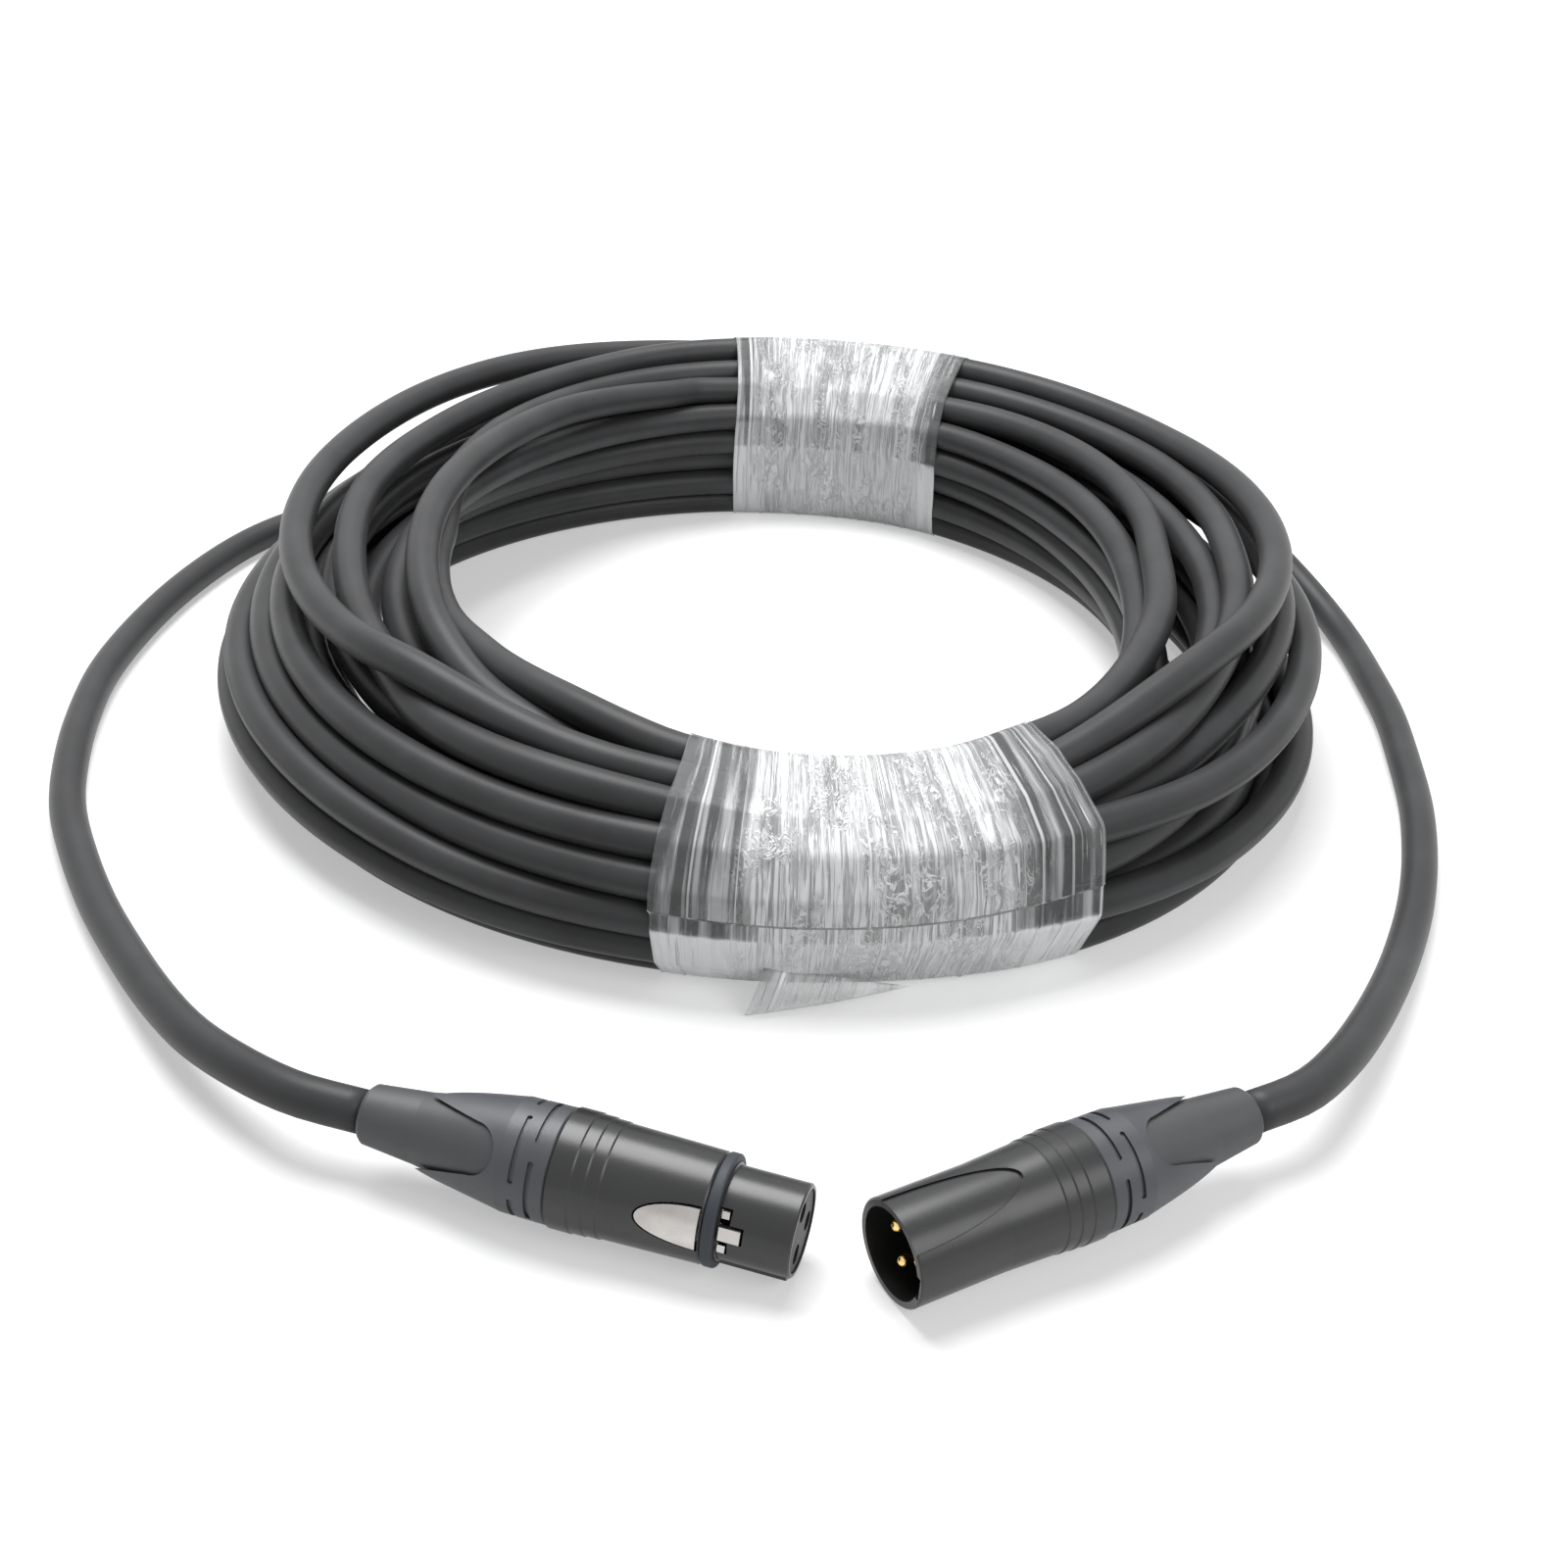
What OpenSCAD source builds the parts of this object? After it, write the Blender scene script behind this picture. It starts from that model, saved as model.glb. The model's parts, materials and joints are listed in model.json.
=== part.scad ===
// Coiled balanced audio cable: three-contact female and male connectors
// on the two ends of one coiled cord, held by two film wraps.
// Millimetres, +Z up. The origin is the coil's centre, on the surface it lies on.

/* [Cable] */
// Outer diameter of the cable's jacket
cable_d = 8; // [7:0.1:8]
// Diameter of one insulated core
core_d = 1.9; // [1.4:0.1:2]
// Straight run of cable at each connector and at each end of the coil
lead = 14; // [10:1:16]

/* [Coil] */
// Radius of the innermost turn, to the cable's centre line
coil_r = 107; // [103:1:111]
// Length of the coil from front to rear, as a share of its width
coil_stretch = 1.05; // [1:0.01:1.08]
// Step outwards from one turn to the next
turn_pitch = 8.8; // [8.5:0.1:9.2]
// Height from one layer of turns to the next
layer_pitch = 8.6; // [8.5:0.1:9]
// Whole turns in the coil, apart from the part turn that parts its two ends
coil_turns = 18; // [8:1:20]
// Angle at which the lowest turn starts
coil_start = 105; // [102:1:110]
// Angle at which the top turn ends
coil_end = 62; // [58:1:64]

/* [Film wraps] */
// Thickness of the wound film
film_t = 0.4; // [0.2:0.1:0.6]
// Air between the film and the turns
film_gap = 0.34; // [0.3:0.02:0.6]
// Middle of the front wrap, as an angle round the coil
front_wrap_at = -79.5; // [-90:0.5:-70]
// Angle that the front wrap covers
front_wrap_span = 39; // [30:1:50]
// Middle of the rear wrap
rear_wrap_at = 83; // [82:1:84]
// Angle that the rear wrap covers
rear_wrap_span = 31; // [24:1:32]

/* [Contacts] */
// Radius of the male pins
pin_r = 1.18; // [1.1:0.01:1.2]
// Radius of the female contacts' bores
socket_r = 1.22; // [1.21:0.01:1.3]
// Wall of a female contact
socket_wall = 0.4; // [0.3:0.05:0.5]
// Half the distance between contacts 1 and 2
pair_x = 3.81; // [3.6:0.01:4]
// Height of contacts 1 and 2 over the connector's axis
pair_y = 1.11; // [1:0.01:1.3]
// Drop of contact 3 below the axis
apex_y = 3.97; // [3.8:0.01:4.1]
// Depth of the pin tips behind the male shell's mouth
pin_recess = 2.2; // [1.6:0.1:3]
// Depth of a female contact's bore
socket_depth = 10; // [8:0.5:12]

/* [Male shell] */
// Length of the male shell
male_len = 38; // [37:0.5:40]
// Bore of the male shell's mouth, as a radius
mouth_r = 8.1; // [8.05:0.05:8.2]
// Wall of the male shell at its mouth
mouth_wall = 1.4; // [1.2:0.1:1.6]
// Depth from the mouth to the insert's face
mouth_depth = 15.2; // [14.5:0.1:16]
// Length of the male insert
male_insert_len = 6.5; // [6:0.5:7]
// Length of the male solder cups behind the insert
male_cup_len = 3.6; // [3.4:0.1:3.8]
// Free length of the male end's wires, between the cups and the jacket
male_wire_len = 2.4; // [2:0.1:3]

/* [Female shell] */
// Length of the female shell with its nose
female_len = 42.3; // [41:0.1:44]
// Length of the nose in front of the rubber ring
nose_len = 12.8; // [12.4:0.1:13.4]
// Radius of the nose
nose_r = 8; // [7.9:0.05:8.05]
// Wall of the nose
nose_wall = 0.85; // [0.7:0.05:1]
// Radius of the shell behind the rubber ring
waist_r = 9.6; // [9.4:0.1:9.8]
// Height of the guide rib on the nose
rib_h = 0.5; // [0.4:0.1:0.6]
// Width of the guide rib
rib_w = 4.4; // [3.5:0.1:5]
// Angle of the guide rib from the latch
rib_at = -80; // [-90:1:-75]
// Length of the female insert
female_insert_len = 16.2; // [15.5:0.1:16.5]
// End of the female solder cups behind the nose face
socket_back = 18.5; // [18:0.1:19]
// Free length of the female end's wires, between the cups and the jacket
female_wire_len = 13.8; // [12:0.1:14]

/* [Shell rear, same on both ends] */
// Largest radius of both shells, near their rear end
shell_r = 10.5; // [10.4:0.1:10.7]
// Inner radius of both shells, behind the insert
cavity_r = 8.3; // [8.2:0.05:8.4]
// Height of each of the three steps in front of the largest radius
step_h = 0.18; // [0.1:0.02:0.2]
// Distance from one step to the next
step_pitch = 2.5; // [2:0.1:3]

/* [Latch] */
// Width of the latch's plate
latch_w = 7.4; // [6.8:0.1:7.5]
// Thickness of the latch's plate
latch_t = 1; // [0.8:0.1:1.1]
// Width of the tongue that locks into the male shell
tongue_w = 2.4; // [2:0.1:2.8]
// Reach of the tongue in front of the rubber ring
tongue_reach = 4.2; // [3.5:0.1:4.5]
// Reach of the two short prongs beside the tongue
prong_reach = 1.8; // [1.2:0.1:2.2]
// Length of the oval thumb pad
pad_len = 10.8; // [10.2:0.1:11]
// Radius of the pivot pin
pivot_r = 0.5; // [0.4:0.05:0.6]
// Wall of the latch's knuckle round the pivot pin
knuckle_wall = 0.5; // [0.4:0.05:0.55]
// Air round the latch in its windows and its channel
latch_air = 0.35; // [0.3:0.05:0.4]
// Radius of the latch spring
spring_r = 1.1; // [0.9:0.1:1.2]

/* [Collar and boot, same on both ends] */
// Length of the ribbed collar
collar_len = 9; // [8:0.5:10]
// Radius of the collar
collar_r = 10.2; // [10:0.1:10.3]
// Depth of the collar's grip slots
slot_depth = 0.6; // [0.4:0.1:0.8]
// Width of the collar's grip slots
slot_w = 0.9; // [0.7:0.1:1.1]
// Radius of the collar's rear rim beyond the boot's
collar_rim = 0.75; // [0.7:0.05:0.9]
// Length of the threaded neck inside the shell
thread_len = 7; // [6:0.5:7.5]
// Wall of the threaded neck
neck_wall = 0.9; // [0.8:0.1:1]
// Length of the chuck
chuck_len = 12; // [11:0.5:12]
// Depth of the chuck's wide front, which goes over the solder cups
chuck_front_len = 2; // [1.5:0.1:2.5]
// Length of the boot behind the collar
boot_len = 28; // [26:0.5:30]
// Length of the boot's thicker front part
boot_front_len = 17.4; // [16:0.2:18]
// Radius of the boot where its two parts meet
boot_mid_r = 6.4; // [6.2:0.1:6.8]
// Radius of the boot where the cable leaves it
boot_end_r = 5.4; // [5.2:0.1:5.8]
// Height of the collar's three petals over the boot
petal_t = 0.55; // [0.4:0.05:0.7]
// Length of the petals
petal_len = 20; // [18.5:0.5:21]
// Radius of the round root of the gap between two petals
gap_r = 4.6; // [4:0.1:5]
// Spread of the gap from its root to the petals' tips
gap_spread = 3.4; // [3:0.1:3.8]

/* [Fits] */
// Air between nested pieces
fit = 0.1; // [0.08:0.01:0.14]

/* [Placing] */
// Female connector: nose face, along X
female_x = 10; // [8:1:12]
// Female connector: nose face, along Y
female_y = -213; // [-216:1:-210]
// Female connector: direction from its nose to its boot
female_yaw = 164.5; // [163:0.5:166]
// Female connector: how far its nose dips, because its shell is widest at the rear
female_tilt = 1.8; // [1:0.1:1.8]
// Female connector: turn about its own axis
female_roll = -74; // [-84:1:-64]
// Male connector: mouth, along X
male_x = 24.5; // [22:0.5:27]
// Male connector: mouth, along Y
male_y = -217.5; // [-220:0.5:-215]
// Male connector: direction from its mouth to its boot
male_yaw = 30.5; // [29:0.5:32]
// Male connector: how far its mouth dips
male_tilt = 1.6; // [1:0.1:1.7]
// Male connector: turn about its own axis
male_roll = 14; // [8:1:20]

/* [Hidden] */

cut = 0.1;                    // how far a cutting shape runs past what it cuts
cable_r = cable_d / 2;
core_r = core_d / 2;

// Coil: six layers of turns, wound clockwise as seen from above
layers = 6;
rings_per_turn = 24;
coil_sides = 6;
tail_sides = 10;
climb = 0.5;                  // the part of a turn in which the coil climbs a layer
flat_r = cable_r * cos(180 / coil_sides);
turns = coil_turns + (coil_start - coil_end) / 360;
layer_turns = turns / layers;
coil_z = film_t + film_gap + flat_r;
coil_out_r = coil_r + turn_pitch * layer_turns;
coil_top_z = coil_z + (layers - 1) * layer_pitch;

function ease(t) = let (c = min(1, max(0, t))) c * c * (3 - 2 * c);
function wave(u) = let (k = floor(u / layer_turns), f = u / layer_turns - k)
    (k % 2 == 0) ? 1 - f : f;
function climbed(u) = [for (k = [1:layers - 1]) ease((u - k * layer_turns) / climb + 0.5)]
    * [for (k = [1:layers - 1]) 1];
function coil_point(u) = let (r = coil_r + turn_pitch * layer_turns * wave(u),
        a = coil_start - 360 * u)
    [r * cos(a), coil_stretch * r * sin(a), coil_z + layer_pitch * climbed(u)];
function heading(a) = unit([sin(a), -coil_stretch * cos(a), 0]);   // clockwise along the coil

ring_count = round(turns * rings_per_turn);
coil_axis = [for (i = [0:ring_count]) coil_point(min(turns * i / ring_count, turns - 0.00001))];
coil_path = concat([coil_axis[0] - cable_d * heading(coil_start)], coil_axis,
    [coil_axis[ring_count] + cable_d * heading(coil_end)]);
coil_first = coil_path[0];
coil_last = coil_path[len(coil_path) - 1];
near_skip = rings_per_turn / 2;
coil_gap = min([for (i = [0:ring_count - near_skip])
    min([for (j = [i + near_skip:ring_count]) norm(coil_axis[i] - coil_axis[j])])]) - cable_d;
echo(coil_gap_to_itself = coil_gap);
echo(coil_length = path_length(coil_path));

// Connector lengths, measured from the nose face or the mouth
female_end = female_len + collar_len + boot_len;
male_end = male_len + collar_len + boot_len;
last_step = 4.1;              // length of the widest ring at the rear of both shells

// Each connector lies on its widest ring, and on its front where the tilt brings that down
function lying_z(tilt, length, front_r, front) = max(
    shell_r * cos(tilt) - (length - last_step) * sin(tilt), front_r * cos(tilt) - front * sin(tilt));
female_tip = [female_x, female_y, lying_z(female_tilt, female_len, waist_r + fit, nose_len)];
male_tip = [male_x, male_y, lying_z(male_tilt, male_len, mouth_r + mouth_wall, 0)];
female_way = [cos(female_yaw) * cos(female_tilt), sin(female_yaw) * cos(female_tilt), sin(female_tilt)];
male_way = [cos(male_yaw) * cos(male_tilt), sin(male_yaw) * cos(male_tilt), sin(male_tilt)];
female_exit = female_tip + female_end * female_way;
male_exit = male_tip + male_end * male_way;

// Routes of the two free ends, from the boots to the coil
female_route = concat(
    [female_exit, female_exit + lead * female_way],
    [[-92, -180, 10.9], [-104.5, -168.5, 8.8], [-116, -154, 6.6], [-127, -138, 4.9],
     [-138, -121, 4.1], [-148, -103, 4], [-157, -84, 4], [-163, -65, 4], [-168, -42, 4],
     [-171, -16, 4], [-170, 12, 4], [-166, 39, 4], [-159, 64, 4], [-150, 82, 4],
     [-137, 97, 4], [-120, 109, 4], [-101, 117, 4], [-84, 122, 4], [-68, 126, 4]],
    [coil_first - lead / 2 * heading(coil_start), coil_first]);
male_route = concat(
    [male_exit, male_exit + lead * male_way],
    [[111, -160, 10.4], [120, -145, 8.2], [128.5, -128.5, 6.1], [136, -112, 4.7],
     [143, -94, 4.1], [149, -74, 4], [154, -51, 4], [157, -27, 4], [159, -4, 4],
     [159, 18, 4], [158, 40, 4.3], [153.5, 59, 7], [145, 75, 12.5], [132.5, 88.5, 20.5],
     [116, 99, 30], [97, 108, 39.5]],
    [coil_last + lead / 2 * heading(coil_end), coil_last]);

function path_length(p) = len(p) < 2 ? 0
    : let (steps = [for (i = [1:len(p) - 1]) norm(p[i] - p[i - 1])]) steps * [for (s = steps) 1];
echo(tail_lengths = [path_length(female_route), path_length(male_route)]);

// Rings of points round a path; each ring stands square to it
function unit(v) = v / norm(v);
function way(p, i) = unit(p[min(i + 1, len(p) - 1)] - p[max(i - 1, 0)]);
function ring(p, i, r, sides) = let (w = way(p, i), side = unit([-w[1], w[0], 0]),
        up = cross(w, side), turn = 180 / sides)
    [for (k = [0:sides - 1]) let (a = 360 * k / sides + turn - 90,
        q = p[i] + r * (cos(a) * side + sin(a) * up)) [q[0], q[1], max(0, q[2])]];
function tube_faces(n, sides) = concat(
    [for (k = [1:sides - 2]) [0, k, k + 1]],
    [for (i = [0:n - 2]) for (k = [0:sides - 1]) let (a = i * sides + k,
        b = i * sides + (k + 1) % sides) [a, a + sides, b + sides]],
    [for (i = [0:n - 2]) for (k = [0:sides - 1]) let (a = i * sides + k,
        b = i * sides + (k + 1) % sides) [a, b + sides, b]],
    [for (k = [1:sides - 2]) let (e = (n - 1) * sides) [e, e + k + 1, e + k]]);
module tube(path, r, sides) {
    rings = [for (i = [0:len(path) - 1]) each ring(path, i, r, sides)];
    polyhedron(points = rings, faces = tube_faces(len(path), sides), convexity = 12);
}

// Connector frame: Z runs from the nose or mouth to the boot, +Y is the latch side
module at_female() {
    translate(female_tip) rotate([0, -female_tilt, female_yaw]) rotate([90, 0, 90])
        rotate([0, 0, female_roll]) children();
}
module at_male() {
    translate(male_tip) rotate([0, -male_tilt, male_yaw]) rotate([90, 0, 90])
        rotate([0, 0, male_roll]) children();
}
module on_contacts() {
    for (at = [[-pair_x, pair_y], [pair_x, pair_y], [0, -apex_y]])
        translate([at[0], at[1], 0]) children();
}
module rod(r, from, to) {
    translate([0, 0, from]) cylinder(r = r, h = to - from, $fn = 48);
}

contact_r = socket_r + socket_wall;

// Insert and contacts of the female end
insert_front = 0.3;
contact_setback = 1.1;        // from the insert's face to the contacts
insert_back = insert_front + female_insert_len;
socket_front = insert_front + contact_setback;
cup_depth = 3.2;
cup_r = core_r + fit;

// Latch: a plate in a channel of the insert, on a pin across the shell
ring_z = nose_len;
ring_w = 2.3;
ring_corner = 0.5;
groove_r = nose_r + 0.4;
plate_low = 5.9;
plate_high = plate_low + latch_t;
channel_floor = plate_low - 1.5;
tongue_z = ring_z - tongue_reach;
prong_z = ring_z - prong_reach;
tongue_top = nose_r + 0.45;
prong_w = 1.3;
prong_top = nose_r - 0.45;
pad_front = ring_z + ring_w + 0.6;
pad_back = pad_front + pad_len;
pad_r = waist_r + 0.2;
knuckle_r = pivot_r + fit / 2 + knuckle_wall;
pivot_y = plate_low + 0.1;
pivot_z = pad_back - knuckle_r - 0.3;
pin_half = 6.6;
spring_z = insert_back - 2;
spring_seat = 1.6;

// Rear of both shells
grip_r = cavity_r - fit;
chuck_r = grip_r - neck_wall - fit;
mouth_chamfer = 0.3;
step_run = 0.3;

function step_at(length, k) = length - last_step - k * step_pitch;
function shell_rear(length) = concat(
    [for (k = [2:-1:0]) each [[shell_r - (k + 1) * step_h, step_at(length, k) - step_run],
        [shell_r - k * step_h, step_at(length, k)]]],
    [[shell_r, length - 0.3], [shell_r - 0.3, length], [cavity_r, length]]);

module female_shell() {
    color([0.09, 0.09, 0.10]) at_female() difference() {
        union() {
            rotate_extrude($fn = 128) polygon(concat([
                [nose_r - nose_wall, 0], [nose_r - mouth_chamfer, 0], [nose_r, mouth_chamfer],
                [nose_r, ring_z - 0.2], [groove_r, ring_z], [groove_r, ring_z + ring_w],
                [waist_r - 0.3, ring_z + ring_w], [waist_r, ring_z + ring_w + 0.4]],
                shell_rear(female_len),
                [[cavity_r, insert_back + 0.4], [nose_r - nose_wall, insert_back + 0.4]]));
            guide_rib();
        }
        // windows for the tongue and the prongs, in front of the ring
        latch_window(tongue_w / 2 + latch_air, tongue_z - latch_air, ring_z - 0.3);
        latch_window(latch_w / 2 + latch_air, prong_z - latch_air, ring_z - 0.3);
        // oval window for the pad, behind it
        pad_shape(latch_air, plate_low, shell_r + 1);
        // room under the ring in which the plate swings
        translate([-latch_w / 2 - latch_air, plate_low - 1, prong_z - latch_air])
            cube([latch_w + 2 * latch_air, latch_t + 1.15, insert_back - prong_z + 1]);
        // seats of the pivot pin
        pivot_rod(pivot_r + fit / 2, pin_half);
    }
}
module latch_window(half, from, to) {
    translate([-half, plate_low, from]) cube([2 * half, shell_r, to - from]);
}
// Half an ellipse, its flat side just behind the ring
module pad_shape(air, low, high) {
    half = latch_w / 2 + air;
    long = pad_len + air;
    translate([0, low, pad_front]) rotate([90, 0, 0]) mirror([0, 0, 1])
        linear_extrude(height = high - low) polygon(concat([[half, -air]],
            [for (a = [9:9:171]) [half * cos(a), long * sin(a)]], [[-half, -air]]));
}
module pivot_rod(r, half) {
    translate([-half, pivot_y, pivot_z]) rotate([0, 90, 0]) cylinder(r = r, h = 2 * half, $fn = 32);
}
module guide_rib() {
    rotate([0, 0, rib_at]) intersection() {
        translate([-rib_w / 2, nose_r - nose_wall / 2, 0.8])
            cube([rib_w, nose_wall + rib_h, ring_z - 1.3]);
        rod(nose_r + rib_h, 0.8, ring_z - 0.5);
    }
}

module female_insert() {
    color([0.05, 0.05, 0.055]) at_female() difference() {
        rod(nose_r - nose_wall - fit, insert_front, insert_back);
        on_contacts() rod(contact_r + fit, insert_front - cut, insert_back + cut);
        // channel for the latch, and the seat of its spring
        translate([-latch_w / 2 - latch_air, channel_floor, tongue_z - 2 * latch_air])
            cube([latch_w + 2 * latch_air, nose_r, insert_back]);
        spring_room(spring_r + fit, channel_floor - spring_seat, channel_floor + cut);
    }
}
module spring_room(r, from, to) {
    translate([0, from, spring_z]) rotate([-90, 0, 0]) cylinder(r = r, h = to - from, $fn = 48);
}

module female_contacts() {
    color([0.83, 0.66, 0.30]) at_female() on_contacts() difference() {
        rod(contact_r, socket_front, socket_back);
        rod(socket_r, socket_front - cut, socket_front + socket_depth);
        rod(cup_r, socket_back - cup_depth, socket_back + cut);
    }
}

module female_latch() {
    color([0.78, 0.78, 0.76]) at_female() difference() {
        union() {
            translate([-latch_w / 2, plate_low, ring_z - 0.1])
                cube([latch_w, latch_t, pivot_z - ring_z + 0.1]);
            latch_finger(0, tongue_w, tongue_z, tongue_top);
            for (side = [-1, 1])
                latch_finger(side * (latch_w - prong_w) / 2, prong_w, prong_z, prong_top);
            // thumb pad, crowned like the shell
            intersection() {
                pad_shape(0, plate_low, shell_r);
                rod(pad_r, pad_front - 1, pad_back + 1);
            }
            pivot_rod(knuckle_r, latch_w / 2);
        }
        pivot_rod(pivot_r + fit / 2, latch_w);
    }
}
// A finger of the plate, turned up at its tip in front of the ring
module latch_finger(x, w, from, top) {
    translate([x - w / 2, plate_low, from]) cube([w, latch_t, ring_z - from]);
    translate([x - w / 2, plate_low, from]) cube([w, top - plate_low, ring_z - 0.5 - from]);
}

module latch_spring() {
    color([0.70, 0.70, 0.70]) at_female() difference() {
        spring_room(spring_r, channel_floor - spring_seat + 0.05, plate_low - 0.05);
        spring_room(spring_r - 0.35, channel_floor - spring_seat, plate_low);
    }
}

module latch_pin() { color([0.62, 0.62, 0.62]) at_female() pivot_rod(pivot_r, pin_half - fit); }

module female_seal_ring() {
    width = ring_w - 2 * fit;
    height = waist_r - groove_r;
    color([0.22, 0.24, 0.28]) at_female() rotate_extrude($fn = 96)
        translate([groove_r + fit, ring_z + fit]) {
            square([height - ring_corner, width]);
            translate([0, ring_corner]) square([height, width - 2 * ring_corner]);
            for (at = [ring_corner, width - ring_corner])
                translate([height - ring_corner, at]) circle(r = ring_corner, $fn = 24);
        }
}

// Open spring ring between the insert and the shell, open on the latch side
ring_air = 60;                // half of the ring's open angle
module ground_ring(from) {
    outer = cavity_r - fit;
    inner = apex_y + contact_r + 0.4;
    rotate([0, 0, 90 + ring_air]) rotate_extrude(angle = 360 - 2 * ring_air, $fn = 96)
        translate([inner, from]) square([outer - inner, 0.7]);
}
module female_ground_ring() {
    color([0.74, 0.72, 0.68]) at_female()
        ground_ring(insert_back + 0.5);
}

// Cores from the end of the jacket to the solder cups: each leaves its cup straight,
// draws in towards the axis, and enters the jacket straight
core_back_r = 2.1;
core_seat = cup_depth - 0.3;
male_insert_back = mouth_depth + male_insert_len;
male_cup_z = male_insert_back + 0.3 + male_cup_len;
female_jacket_z = socket_back + female_wire_len;
male_jacket_z = male_cup_z + male_wire_len;

function core_path(at, from, to) = let (inner = core_back_r * unit(at),
        free = to - from - core_seat)
    [for (k = [[0, 0], [0, core_seat], [0.12, core_seat + 0.25 * free],
               [0.5, core_seat + 0.5 * free], [0.88, core_seat + 0.75 * free],
               [1, core_seat + free]])
        [at[0] + (inner[0] - at[0]) * k[0], at[1] + (inner[1] - at[1]) * k[0], from + k[1]]];
function level_ring(p, r, sides) = [for (k = [0:sides - 1]) let (a = -360 * k / sides)
    [p[0] + r * cos(a), p[1] + r * sin(a), p[2]]];
module core_set(cup_z, jacket_z) {
    for (at = [[-pair_x, pair_y], [pair_x, pair_y], [0, -apex_y]]) {
        path = core_path(at, cup_z - core_seat, jacket_z - fit);
        polyhedron(points = [for (p = path) each level_ring(p, core_r, 8)],
            faces = tube_faces(len(path), 8), convexity = 4);
    }
}
module female_cores() { color([0.65, 0.16, 0.12]) at_female() core_set(socket_back, female_jacket_z); }
module male_cores() { color([0.65, 0.16, 0.12]) at_male() core_set(male_cup_z, male_jacket_z); }

// Four-jaw chuck, squeezed on the jacket by the cone inside the collar
chuck_out = 3;                // how far the jaws stand behind the shell
cone_len = 5;
cone_drop = 1.6;
jaw_gap = 1.2;
module chuck(rear) {
    back = rear + chuck_out;
    front = back - chuck_len;
    front_bore = apex_y + contact_r + fit;
    difference() {
        rotate_extrude($fn = 96) polygon([
            [cable_r + fit, front + chuck_front_len], [front_bore, front + chuck_front_len],
            [front_bore, front], [chuck_r, front],
            [chuck_r, back - cone_len], [chuck_r - cone_drop, back], [cable_r + fit, back]]);
        for (turn = [45, 135]) rotate([0, 0, turn])
            translate([-chuck_r - cut, -jaw_gap / 2, front + 4])
                cube([2 * (chuck_r + cut), jaw_gap, chuck_len]);
    }
}
module female_chuck() { color([0.12, 0.12, 0.13]) at_female() chuck(female_len); }
module male_chuck() { color([0.12, 0.12, 0.13]) at_male() chuck(male_len); }

// Collar: threaded neck inside the shell, ribbed grip, and three petals over the boot
boot_start_r = collar_r - collar_rim;
boot_seat_r = boot_start_r - 1.3;
boot_seat_len = 4;
boot_flange = 0.5;
function boot_radius(z) = z < boot_front_len
    ? boot_start_r + (boot_mid_r - boot_start_r) * z / boot_front_len
    : boot_mid_r + (boot_end_r - boot_mid_r) * (z - boot_front_len) / (boot_len - boot_front_len);

module collar(rear) {
    front = rear + fit;
    back = rear + collar_len;
    cone_end = rear + chuck_out;
    bore = grip_r - neck_wall;
    difference() {
        rotate_extrude($fn = 128) polygon([
            [bore, rear - thread_len], [grip_r, rear - thread_len],
            [grip_r, front], [collar_r - 0.25, front], [collar_r, front + 0.3],
            [collar_r - 0.15, back], [boot_start_r + petal_t, back],
            [boot_radius(petal_len) + petal_t, back + petal_len],
            [boot_radius(petal_len) + fit, back + petal_len],
            [boot_start_r + fit, back], [boot_start_r + fit, back - boot_flange - fit],
            [boot_seat_r + fit, back - boot_flange - fit],
            [boot_seat_r + fit, back - boot_seat_len - fit],
            [bore - cone_drop, cone_end], [bore, cone_end - cone_len]]);
        // three round-ended gaps leave three petals
        for (turn = [0:120:240]) rotate([0, 0, turn + petal_turn]) petal_gap(back);
        // grip slots with round ends, in two rows
        for (row = [1, 2]) for (turn = [0:90:270])
            grip_slot(front + row * collar_len / 3, turn + 45 * row);
    }
}
petal_turn = 20;
module petal_gap(back) {
    translate([0, 0, back + gap_r + 1]) rotate([-90, 0, 0]) {
        cylinder(r = gap_r, h = collar_r + 1, $fn = 64);
        linear_extrude(height = collar_r + 1) polygon([[-gap_r, 0], [gap_r, 0],
            [gap_r + gap_spread, -petal_len], [-gap_r - gap_spread, -petal_len]]);
    }
}
slot_arc = 66;
slot_end = slot_w / 2 + 0.04; // round ends stand a little proud of the slot's sides
module grip_slot(z, turn) {
    rotate([0, 0, turn]) {
        rotate_extrude(angle = slot_arc, $fn = 128)
            translate([collar_r - slot_depth, z - slot_w / 2]) square([2, slot_w]);
        for (end = [0, slot_arc]) rotate([0, 0, end]) translate([collar_r - slot_depth, 0, z])
            rotate([0, 90, 0]) cylinder(r = slot_end, h = 2, $fn = 24);
    }
}
module female_collar() { color([0.17, 0.18, 0.20]) at_female() collar(female_len); }
module male_collar() { color([0.17, 0.18, 0.20]) at_male() collar(male_len); }

// Soft boot: the strain relief, seated in the collar's rear
module boot(start) {
    rotate_extrude($fn = 96) polygon([
        [cable_r + fit, start - boot_seat_len], [boot_seat_r, start - boot_seat_len],
        [boot_seat_r, start - boot_flange], [boot_start_r, start - boot_flange],
        [boot_start_r, start], [boot_mid_r, start + boot_front_len],
        [boot_end_r, start + boot_len - 0.7], [boot_end_r - 0.6, start + boot_len],
        [cable_r + fit, start + boot_len]]);
}
module female_boot() { color([0.13, 0.13, 0.14]) at_female() boot(female_len + collar_len); }
module male_boot() { color([0.13, 0.13, 0.14]) at_male() boot(male_len + collar_len); }

module female_cable_end() {
    color([0.14, 0.14, 0.15]) at_female() rod(cable_r, female_jacket_z, female_end);
}
module male_cable_end() {
    color([0.14, 0.14, 0.15]) at_male() rod(cable_r, male_jacket_z, male_end);
}

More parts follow.
